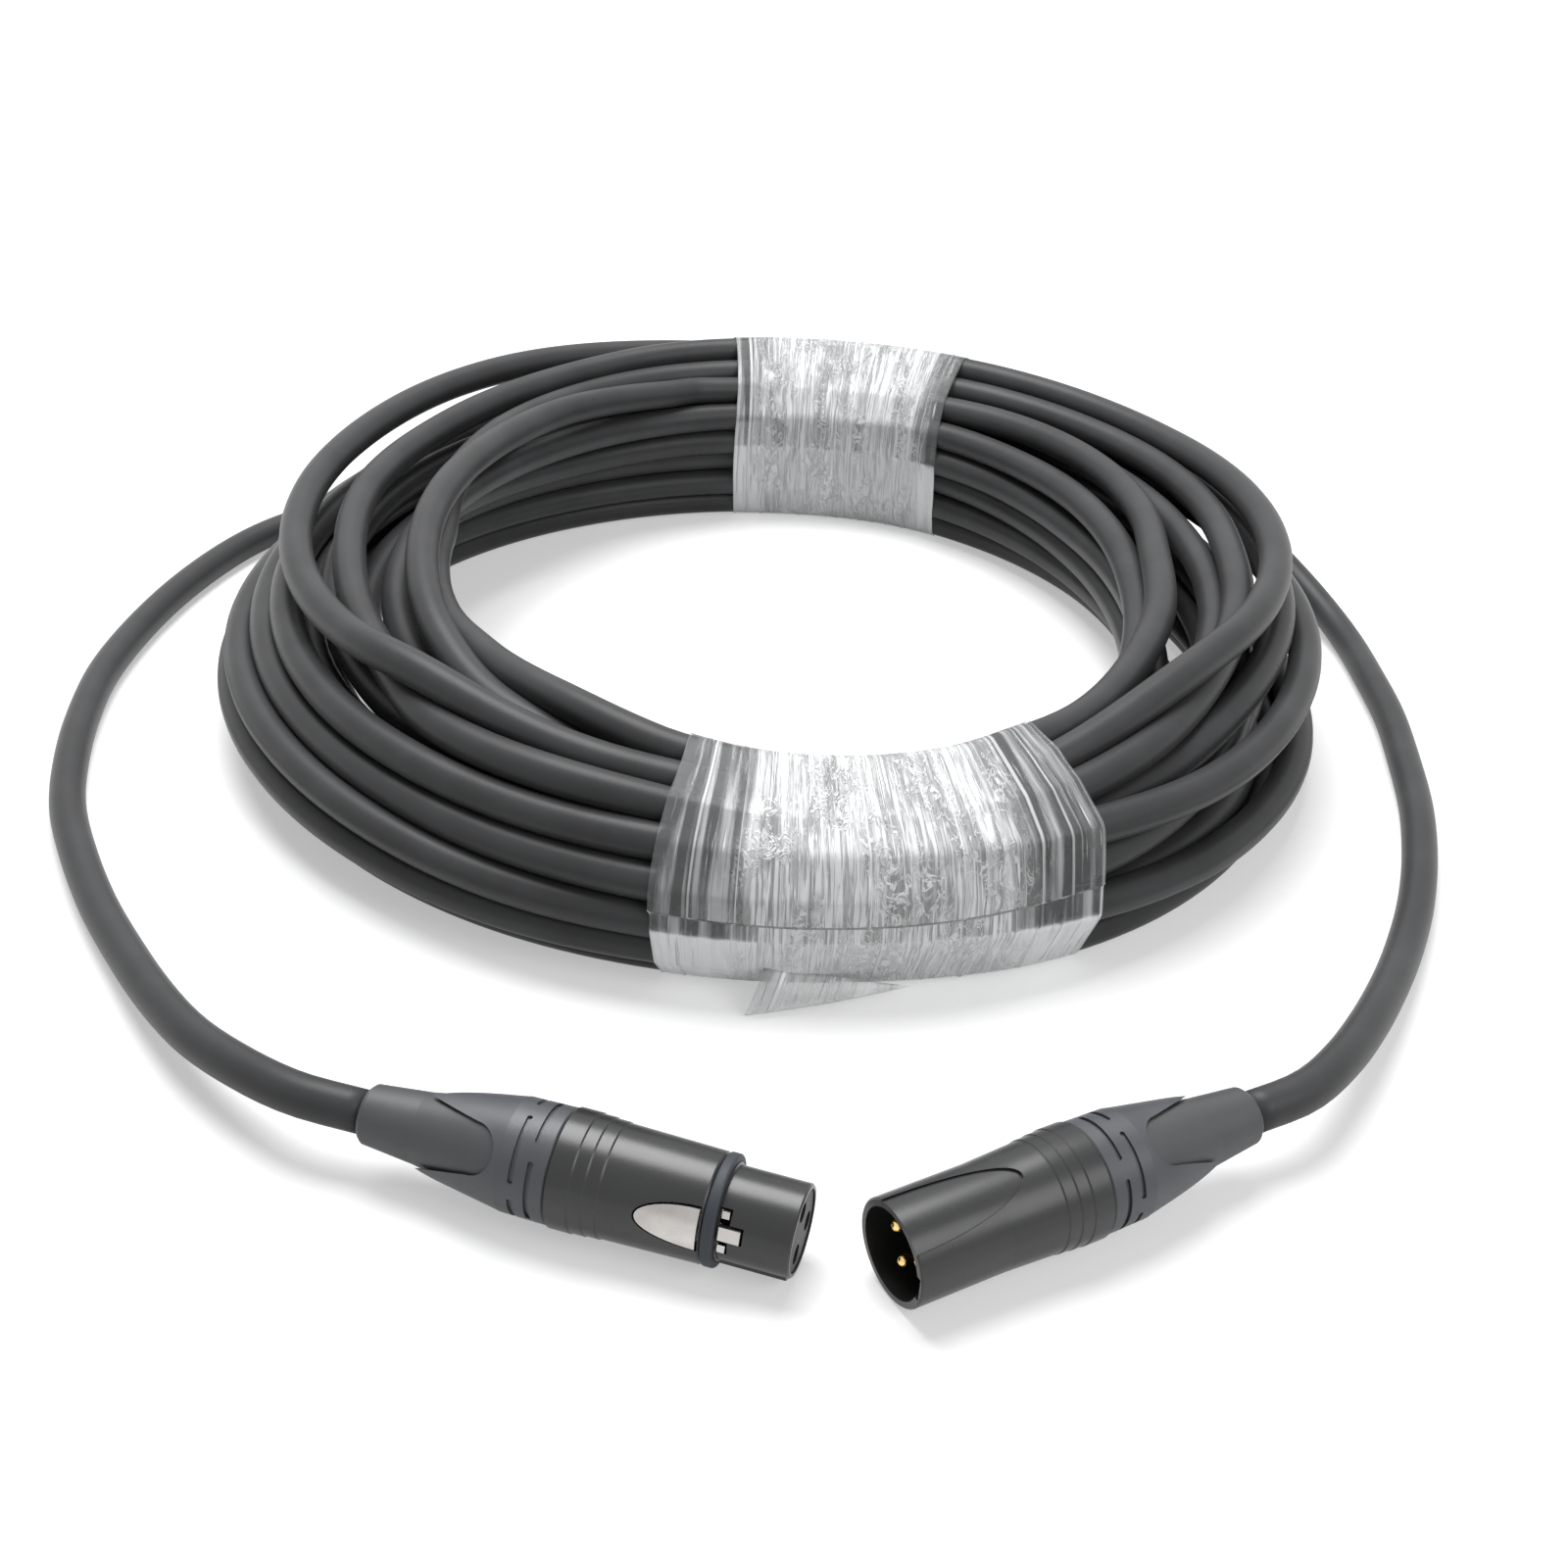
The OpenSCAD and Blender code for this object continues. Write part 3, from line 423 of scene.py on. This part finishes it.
# The film lies tight round the bundle, so its section is the outline that a string would take
# round the strands. Seen from the bundle's middle, the outline's distance in a direction is the
# least, over all straight edges that touch the strands, of the distance to that edge. Creases stand
# out by the square of a sum of sines where it is over zero.
def filmSleeve(name, wrap):
    rng = np.random.default_rng(wrap["seed"])
    share = np.linspace(-1, 1, wrap["rows"])
    edgeAngle = wrap["middle"] + share * wrap["span"] / 2
    strands = strandsAt(edgeAngle)
    middle = strands.mean(1)
    edges = np.linspace(0, 2 * np.pi, film["edges"], endpoint=False)
    normal = np.stack([np.cos(edges), np.sin(edges)], 1)
    reach = ((strands - middle[:, None]) @ normal.T).max(1)
    reach = reach + cable["diameter"] / 2 + film["lift"] + film["thickness"]
    around = np.linspace(0, 2 * np.pi, wrap["cols"], endpoint=False)
    for again in range(2):                    # the second time in even steps along the outline
        distance = outlineDistance(reach, edges, around)
        outline = middle[:, None] + distance[..., None] * np.stack([np.cos(around), np.sin(around)], -1)
        step = np.linalg.norm(np.diff(np.concatenate([outline, outline[:, :1]], 1), axis=1), axis=2)
        girth = np.concatenate([[0], np.cumsum(step.mean(0))])
        if again == 0:
            even = np.linspace(0, girth[-1], wrap["cols"], endpoint=False)
            around = np.interp(even, girth, np.append(around, around[0] + 2 * np.pi))
    girthAt = np.cumsum(step, 1) - step
    across = share[:, None] * wrap["span"] / 2 * np.pi / 180 * film["radius"]    # mm along the coil
    crease = sum(size * waves(rng, across, girthAt, count, lengthAlong, lengthRound)
                 for count, lengthAlong, lengthRound, size in film["creases"])
    outward = outline - middle[:, None]
    outward /= np.linalg.norm(outward, axis=2)[..., None]
    outline = outline + outward * (film["creaseHeight"] * np.maximum(crease, 0) ** 2)[..., None]
    outline[..., 1] = np.maximum(outline[..., 1], film["lowest"])
    # the two edges wander a little along the coil
    stray = film["stray"] * waves(rng, 0 * girthAt, girthAt, film["straySines"], 1, film["strayLength"])
    stray = stray * (np.abs(share)[:, None] ** 3) * np.sign(share)[:, None]
    turn = np.radians(edgeAngle)[:, None] + stray / film["radius"]
    points = np.stack([outline[..., 0] * np.cos(turn), outline[..., 0] * np.sin(turn), outline[..., 1]], -1)
    uv = np.stack([np.broadcast_to(across, girthAt.shape) * mm, girthAt * mm], -1)
    sleeve = gridMesh(name, points[:, ::-1] * mm, uv=uv[:, ::-1])
    wall = sleeve.modifiers.new("wall", "SOLIDIFY")
    wall.thickness, wall.offset = film["thickness"] * mm, -1
    return sleeve


tab = {
    "root": ((1.0, -138.0, 9.0), (31.0, -132.6, 2.6)),    # where it leaves the wrap, in mm
    "tip": (-2.5, -142.6, 0.5),
    "curl": 1.6,
    "rows": 16, "across": 12,
    "pointed": 0.985,                      # share of the way to the tip at which it ends
    "bow": (0.15, 0.7),                    # where its sides lie on the sine that bows it
    "lowest": 0.4,
    # where its piece of the film's pattern begins, and its size, in metres
    "patternPlace": (0.036, 0.3), "patternSize": (0.018, 0.014),
}


# A loose corner of the film. Each of its rows is a straight line from one side of a triangle to the
# other. The rows bow outward by the sine of the way from the root to the tip times a sine across.
def filmTab():
    root, tip = np.array(tab["root"]), np.array(tab["tip"])
    down = np.linspace(0, tab["pointed"], tab["rows"])
    down, over = np.meshgrid(down, np.linspace(0, 1, tab["across"]), indexing="ij")
    base = root[0] * (1 - over)[..., None] + root[1] * over[..., None]
    points = base * (1 - down)[..., None] + tip * down[..., None]
    bow = np.sin(np.pi * (tab["bow"][0] + tab["bow"][1] * over))
    points[..., 1] -= tab["curl"] * np.sin(np.pi * down) * bow
    points[..., 2] = np.maximum(points[..., 2], tab["lowest"])
    (left, start), (wide, tall) = tab["patternPlace"], tab["patternSize"]
    uv = np.stack([wide * over * (1 - down) + left, start + tall * down], -1)
    sheet = gridMesh("film_tab", points * mm, closedAround=False, uv=uv)
    wall = sheet.modifiers.new("wall", "SOLIDIFY")
    wall.thickness, wall.offset = film["thickness"] * mm, 0
    return sheet


filmFront = filmSleeve("film_front", film["front"])
filmRear = filmSleeve("film_rear", film["rear"])
for piece, node in ((filmFront, "wrap_front"), (filmRear, "wrap_rear")):
    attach(piece, "cable_set")
    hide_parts(node)
filmCorner = filmTab()
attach(filmCorner, "cable_set")
print("film wrapped")


# A material with its nodes, its links and its main shader.
def newMaterial(name):
    material = bpy.data.materials.new(name)
    material.use_nodes = True
    nodes = material.node_tree.nodes
    return material, nodes, material.node_tree.links, nodes["Principled BSDF"]


# A noise of so many waves per metre.
def noise(nodes, scale, **values):
    node = nodes.new("ShaderNodeTexNoise")
    node.inputs["Scale"].default_value = scale
    for key, value in values.items():
        node.inputs[key].default_value = value
    return node


# A colour that runs from low at 0.3 to high at 0.7 of what comes in.
def ramp(nodes, low, high):
    node = nodes.new("ShaderNodeValToRGB")
    first, last = node.color_ramp.elements
    first.position, last.position = 0.3, 0.7
    first.color, last.color = tuple(low) + (1,), tuple(high) + (1,)
    return node


# The same value three times.
def grey(value):
    return (value, value, value)


# A finish: its colour and roughness each vary a little with a coarse noise, and a fine noise
# lifts the surface by a small fraction of a millimetre.
def surfaceFinish(name, settings):
    material, nodes, links, shader = newMaterial(name)
    place = nodes.new("ShaderNodeTexCoord")
    coarse = noise(nodes, settings["coarse"], Detail=4)
    fine = noise(nodes, settings["fine"], Detail=6, Roughness=0.65)
    links.new(place.outputs["Object"], coarse.inputs["Vector"])
    links.new(place.outputs["Object"], fine.inputs["Vector"])
    tint = ramp(nodes, settings["dark"], settings["light"])
    links.new(coarse.outputs["Fac"], tint.inputs["Fac"])
    links.new(tint.outputs["Color"], shader.inputs["Base Color"])
    rough = ramp(nodes, grey(settings["rough"][0]), grey(settings["rough"][1]))
    links.new(fine.outputs["Fac"], rough.inputs["Fac"])
    links.new(rough.outputs["Color"], shader.inputs["Roughness"])
    bump = nodes.new("ShaderNodeBump")
    bump.inputs["Strength"].default_value = settings["bump"]
    bump.inputs["Distance"].default_value = settings["lift"]
    links.new(fine.outputs["Fac"], bump.inputs["Height"])
    links.new(bump.outputs["Normal"], shader.inputs["Normal"])
    shader.inputs["Metallic"].default_value = settings.get("metal", 0)
    shader.inputs["Specular IOR Level"].default_value = settings.get("specular", 0.5)
    return material


finishes = {
    "cable_jacket": {"dark": (0.036, 0.0365, 0.038), "light": (0.050, 0.051, 0.053), "rough": (0.36, 0.46),
                     "coarse": 60, "fine": 2600, "bump": 0.3, "lift": 0.00006, "specular": 0.2},
    "shell_metal": {"dark": (0.014, 0.0145, 0.0155), "light": (0.021, 0.0215, 0.0225), "rough": (0.26, 0.36),
                    "coarse": 90, "fine": 3800, "bump": 0.22, "lift": 0.00004, "specular": 0.5},
    "insert_plastic": {"dark": (0.006, 0.006, 0.0065), "light": (0.010, 0.010, 0.011), "rough": (0.42, 0.56),
                       "coarse": 120, "fine": 3000, "bump": 0.2, "lift": 0.00004, "specular": 0.4},
    "gold_contact": {"dark": (0.86, 0.58, 0.20), "light": (0.95, 0.70, 0.30), "rough": (0.14, 0.24),
                     "coarse": 150, "fine": 2500, "bump": 0.1, "lift": 0.00002, "metal": 1},
    "latch_steel": {"dark": (0.38, 0.365, 0.35), "light": (0.52, 0.50, 0.48), "rough": (0.22, 0.34),
                    "coarse": 150, "fine": 3000, "bump": 0.15, "lift": 0.00003, "metal": 1},
    "spring_steel": {"dark": (0.48, 0.48, 0.48), "light": (0.6, 0.6, 0.6), "rough": (0.25, 0.35),
                     "coarse": 150, "fine": 2500, "bump": 0.1, "lift": 0.00002, "metal": 1},
    "seal_rubber": {"dark": (0.030, 0.036, 0.044), "light": (0.040, 0.047, 0.057), "rough": (0.5, 0.64),
                    "coarse": 120, "fine": 2600, "bump": 0.25, "lift": 0.00005, "specular": 0.35},
    "ground_metal": {"dark": (0.55, 0.50, 0.38), "light": (0.66, 0.60, 0.46), "rough": (0.28, 0.4),
                     "coarse": 150, "fine": 2500, "bump": 0.1, "lift": 0.00002, "metal": 1},
    "core_insulation": {"dark": (0.40, 0.04, 0.03), "light": (0.50, 0.06, 0.045), "rough": (0.35, 0.5),
                        "coarse": 120, "fine": 2000, "bump": 0.1, "lift": 0.00003},
    "chuck_plastic": {"dark": (0.03, 0.03, 0.033), "light": (0.04, 0.04, 0.043), "rough": (0.45, 0.6),
                      "coarse": 120, "fine": 2400, "bump": 0.2, "lift": 0.00004},
    "collar_plastic": {"dark": (0.050, 0.054, 0.061), "light": (0.066, 0.071, 0.080), "rough": (0.38, 0.5),
                       "coarse": 90, "fine": 2800, "bump": 0.25, "lift": 0.00005, "specular": 0.5},
    "boot_rubber": {"dark": (0.046, 0.048, 0.051), "light": (0.060, 0.062, 0.066), "rough": (0.42, 0.54),
                    "coarse": 90, "fine": 2600, "bump": 0.3, "lift": 0.00006, "specular": 0.5},
}

materials = {name: surfaceFinish(name, settings) for name, settings in finishes.items()}


filmLook = {
    "colour": (0.87, 0.89, 0.90), "rough": 0.16, "specular": 0.6,
    # how solid the film is: clear, white, the painted light on the sides that face down, the milky part, and
    # at most
    "clear": 0.11, "white": 0.70, "paintedUnderLight": 0.66, "body": (0.20, 0.42), "most": 0.92,
    "rearShadedCover": 0.70,                    # how solid the rear wrap is beside the front one: less, as painted shade
    # each noise: waves per metre across the streaks, what share of that along them, and the levels
    # at which it begins to show and shows in full
    "streaks": 1500, "streakLong": 0.03, "streakAt": (0.475, 0.60),
    "slants": 900, "slantLong": 0.048, "slantAt": (0.52, 0.60), "slantTurn": 0.22, "slantShare": 0.8,
    "bands": 640, "bandLong": 0.006, "bandAt": (0.585, 0.66), "bandShare": 0.6,
    "veils": 380, "veilLong": 0.035, "veilAt": (0.44, 0.66), "veilTurn": 0.04, "veilShare": 0.42,
    "ridges": 300, "ridgeLong": 0.5, "crumpleWide": 0.07, "crumpleShare": 0.9,
    "clouds": 110, "cloudLong": 0.45, "cloudAt": (0.3, 0.7),
    "cloudLevel": (-0.03, 0.05),          # what the clouds add to the streaks' level
    "patchAt": (0.57, 0.43), "patchCalm": 0.75,    # crumpled patches, and how they quiet the streaks
    "dense": (0.031, 0.020),              # from the wrap's middle, where the dense part ends and is full
    "ragged": 0.016,                      # how far the clouds shift that end
    "denseLevel": 0.15,                   # how much the streaks' level falls outside it
    "bodyAt": (0.35, 0.65),               # levels of the clouds
    "paintedUnderLightAt": (0.05, -0.18),              # height of the surface's normal, over which the painted light on the down-facing sides comes in
    "rearShadeAt": (-0.05, 0.05),              # metres along Y, over which the rear wrap's painted shade comes in
    "bump": 0.8, "lift": 0.0005,
}


# One step of arithmetic on numbers or on other nodes' outputs.
def maths(nodes, links, kind, *inputs):
    node = nodes.new("ShaderNodeMath")
    node.operation = kind
    for index, value in enumerate(inputs):
        if isinstance(value, (int, float)):
            node.inputs[index].default_value = value
        else:
            links.new(value, node.inputs[index])
    return node.outputs["Value"]


# A value eased from one pair of levels to another.
def mapped(nodes, links, value, fromLow, fromHigh, toLow=0.0, toHigh=1.0):
    node = nodes.new("ShaderNodeMapRange")
    node.interpolation_type = "SMOOTHSTEP"
    levels = {"From Min": fromLow, "From Max": fromHigh, "To Min": toLow, "To Max": toHigh}
    for name, level in levels.items():
        node.inputs[name].default_value = level
    links.new(value, node.inputs["Value"])
    return node.outputs["Result"]


# Coordinates scaled along each axis and turned in their plane.
def stretched(nodes, links, vector, scale, turn=0.0):
    node = nodes.new("ShaderNodeMapping")
    node.inputs["Scale"].default_value = scale
    node.inputs["Rotation"].default_value = (0, 0, turn)
    links.new(vector, node.inputs["Vector"])
    return node.outputs["Vector"]


# Clear film. White streaks run round the bundle where a long noise is high, and crumples are the
# lines where a wavy noise passes its mean. Both are dense in the middle of the wrap and rare at its
# ends, and take turns in patches. Wide faint veils lie everywhere, and the sides that face down get a
# painted light: a whiter cover that stands in for the floor's light shining through them. The film's
# cover is the sum of these, the rear wrap gets a smaller share of it as painted shade, and the white
# parts lift the surface.
def filmMaterial():
    look = filmLook
    material, nodes, links, shader = newMaterial("film_wrap")
    place = nodes.new("ShaderNodeUVMap")
    place.uv_map = "surface"
    surfaceUv = place.outputs["UV"]

    # a noise drawn out along the streaks
    def layer(scale, long, turn=0.0, **values):
        node = noise(nodes, scale, **values)
        links.new(stretched(nodes, links, surfaceUv, (1, long, 1), turn), node.inputs["Vector"])
        return node.outputs["Fac"]

    cloud = layer(look["clouds"], look["cloudLong"], Detail=3)
    streak = layer(look["streaks"], look["streakLong"], Detail=3, Roughness=0.6, Distortion=0.25)
    slant = layer(look["slants"], look["slantLong"], look["slantTurn"], Detail=2, Roughness=0.6)
    band = layer(look["bands"], look["bandLong"], Detail=2, Roughness=0.5)
    veil = layer(look["veils"], look["veilLong"], look["veilTurn"], Detail=4, Roughness=0.6, Distortion=0.3)
    ridge = layer(look["ridges"], look["ridgeLong"], Detail=4, Roughness=0.62, Distortion=1.4)

    # where the film is dense, and the patches that are crumpled
    parts = nodes.new("ShaderNodeSeparateXYZ")
    links.new(surfaceUv, parts.inputs["Vector"])
    ragged = maths(nodes, links, "MULTIPLY_ADD", cloud, look["ragged"], -look["ragged"] / 2)
    offset = maths(nodes, links, "ADD", maths(nodes, links, "ABSOLUTE", parts.outputs["X"]), ragged)
    dense = mapped(nodes, links, offset, *look["dense"])
    patch = maths(nodes, links, "MULTIPLY", mapped(nodes, links, cloud, *look["patchAt"]), dense)
    calm = maths(nodes, links, "MULTIPLY_ADD", patch, -look["patchCalm"], 1.0)

    # the white parts, of which the whitest shows
    level = maths(nodes, links, "MULTIPLY_ADD", dense, look["denseLevel"], -look["denseLevel"])
    clouded = mapped(nodes, links, cloud, *look["cloudAt"], *look["cloudLevel"])
    level = maths(nodes, links, "ADD", level, clouded)
    streaks = mapped(nodes, links, maths(nodes, links, "ADD", streak, level), *look["streakAt"])
    streaks = maths(nodes, links, "MULTIPLY", streaks, calm)
    slants = mapped(nodes, links, maths(nodes, links, "ADD", slant, level), *look["slantAt"])
    slants = maths(nodes, links, "MULTIPLY", slants, calm)
    off = maths(nodes, links, "ABSOLUTE", maths(nodes, links, "SUBTRACT", ridge, 0.5))
    crumples = mapped(nodes, links, off, look["crumpleWide"], 0.0)
    crumples = maths(nodes, links, "MULTIPLY", crumples, patch)
    bands = mapped(nodes, links, band, *look["bandAt"])
    white = streaks
    shares = ((slants, look["slantShare"]), (crumples, look["crumpleShare"]), (bands, look["bandShare"]))
    for fainter, share in shares:
        white = maths(nodes, links, "MAXIMUM", white, maths(nodes, links, "MULTIPLY", fainter, share))

    # the cover, with painted light on the sides that face down, of which the rear wrap gets a share as
    # painted shade
    body = mapped(nodes, links, cloud, *look["bodyAt"], *look["body"])
    body = maths(nodes, links, "MULTIPLY", dense, body)
    # painted light: where the surface faces down the film is whiter, for the floor's light shining through
    # it
    surface = nodes.new("ShaderNodeNewGeometry")
    facing = nodes.new("ShaderNodeSeparateXYZ")
    links.new(surface.outputs["Normal"], facing.inputs["Vector"])
    paintedUnderLight = mapped(nodes, links, facing.outputs["Z"], *look["paintedUnderLightAt"], 0.0, look["paintedUnderLight"])
    veils = mapped(nodes, links, veil, *look["veilAt"], 0.0, look["veilShare"])
    cover = maths(nodes, links, "MULTIPLY_ADD", white, look["white"], look["clear"])
    cover = maths(nodes, links, "ADD", cover, maths(nodes, links, "ADD", body, paintedUnderLight))
    cover = maths(nodes, links, "ADD", cover, veils)
    # painted shade: the rear wrap gets only a share of the cover, so more dark cable shows through it
    where = nodes.new("ShaderNodeTexCoord")
    spot = nodes.new("ShaderNodeSeparateXYZ")
    links.new(where.outputs["Object"], spot.inputs["Vector"])
    share = mapped(nodes, links, spot.outputs["Y"], *look["rearShadeAt"], 1.0, look["rearShadedCover"])
    cover = maths(nodes, links, "MULTIPLY", maths(nodes, links, "MINIMUM", cover, look["most"]), share)
    links.new(cover, shader.inputs["Alpha"])

    bump = nodes.new("ShaderNodeBump")
    bump.inputs["Strength"].default_value = look["bump"]
    bump.inputs["Distance"].default_value = look["lift"]
    links.new(white, bump.inputs["Height"])
    links.new(bump.outputs["Normal"], shader.inputs["Normal"])
    shader.inputs["Base Color"].default_value = look["colour"] + (1,)
    shader.inputs["Roughness"].default_value = look["rough"]
    shader.inputs["Specular IOR Level"].default_value = look["specular"]
    return material


materials["film_wrap"] = filmMaterial()

for part in frame["record"]["subparts"]:
    node = frame["nodes"][part["node"]]
    node.data.materials.clear()
    node.data.materials.append(materials[part["material_slot"]])
cableObject.data.materials.append(materials["cable_jacket"])
for piece in (filmFront, filmRear, filmCorner):
    piece.data.materials.append(materials["film_wrap"])
print("finishes set")

studio = {
    "worldLight": 0.21,
    "keyPower": 16.5, "keySize": 0.8, "keyPlace": (-0.15, 0.25, 1.0),
    "fillPower": 3.0, "fillSize": 0.6, "fillPlace": (0.6, -0.6, 0.6),
    "floorColour": 0.62, "floorRough": 0.9, "floorSpecular": 0.1,
    "floorGlow": (0.43, 1.1),             # near the coil and far from it
    "glowReach": (0.26, 0.75),            # metres from the middle
    "floorHalf": 6.0, "floorLow": -0.0002,
}


# One for rays from the camera and for those that a mirror or a clear film sends on, else zero.
def seenByCamera(nodes, links):
    path = nodes.new("ShaderNodeLightPath")
    first = maths(nodes, links, "MAXIMUM", path.outputs["Is Camera Ray"], path.outputs["Is Glossy Ray"])
    return maths(nodes, links, "MAXIMUM", first, path.outputs["Is Transmission Ray"])


# A level square just under the object. It glows a little more with the distance from the middle, so
# that the far floor is as white as the near one.
def makeFloor():
    side, low = studio["floorHalf"], studio["floorLow"]
    mesh = bpy.data.meshes.new("floor")
    corners = [(-side, -side, low), (side, -side, low), (side, side, low), (-side, side, low)]
    mesh.from_pydata(corners, [], [(0, 1, 2, 3)])
    floor = bpy.data.objects.new("floor", mesh)
    bpy.context.scene.collection.objects.link(floor)
    material, nodes, links, shader = newMaterial("floor_white")
    shader.inputs["Base Color"].default_value = (studio["floorColour"],) * 3 + (1,)
    shader.inputs["Roughness"].default_value = studio["floorRough"]
    shader.inputs["Specular IOR Level"].default_value = studio["floorSpecular"]
    glow = nodes.new("ShaderNodeEmission")
    place = nodes.new("ShaderNodeTexCoord")
    distance = nodes.new("ShaderNodeVectorMath")
    distance.operation = "LENGTH"
    links.new(place.outputs["Object"], distance.inputs[0])
    level = mapped(nodes, links, distance.outputs["Value"], *studio["glowReach"], *studio["floorGlow"])
    level = maths(nodes, links, "MULTIPLY", seenByCamera(nodes, links), level)
    links.new(level, glow.inputs["Strength"])
    both = nodes.new("ShaderNodeAddShader")
    links.new(shader.outputs["BSDF"], both.inputs[0])
    links.new(glow.outputs["Emission"], both.inputs[1])
    links.new(both.outputs["Shader"], nodes["Material Output"].inputs["Surface"])
    mesh.materials.append(material)


# A white world. It shows at full strength and lights the object with a share of that.
def makeWorld():
    world = bpy.data.worlds.new("studio")
    bpy.context.scene.world = world
    world.use_nodes = True
    nodes, links = world.node_tree.nodes, world.node_tree.links
    back = nodes["Background"]
    back.inputs["Color"].default_value = (1, 1, 1, 1)
    level = mapped(nodes, links, seenByCamera(nodes, links), 0, 1, studio["worldLight"], 1.0)
    links.new(level, back.inputs["Strength"])


# A round lamp that faces the object's middle.
def softLamp(name, power, size, place):
    data = bpy.data.lights.new(name, "AREA")
    data.shape = "DISK"
    data.size = size
    data.energy = power
    lamp = bpy.data.objects.new(name, data)
    lamp.location = place
    lamp.rotation_euler = (-Vector(place)).to_track_quat("-Z", "Y").to_euler()
    bpy.context.scene.collection.objects.link(lamp)


makeFloor()
makeWorld()
softLamp("keyLamp", studio["keyPower"], studio["keySize"], studio["keyPlace"])
softLamp("fillLamp", studio["fillPower"], studio["fillSize"], studio["fillPlace"])
bpy.context.scene.view_settings.view_transform = "Standard"
print("studio lit")
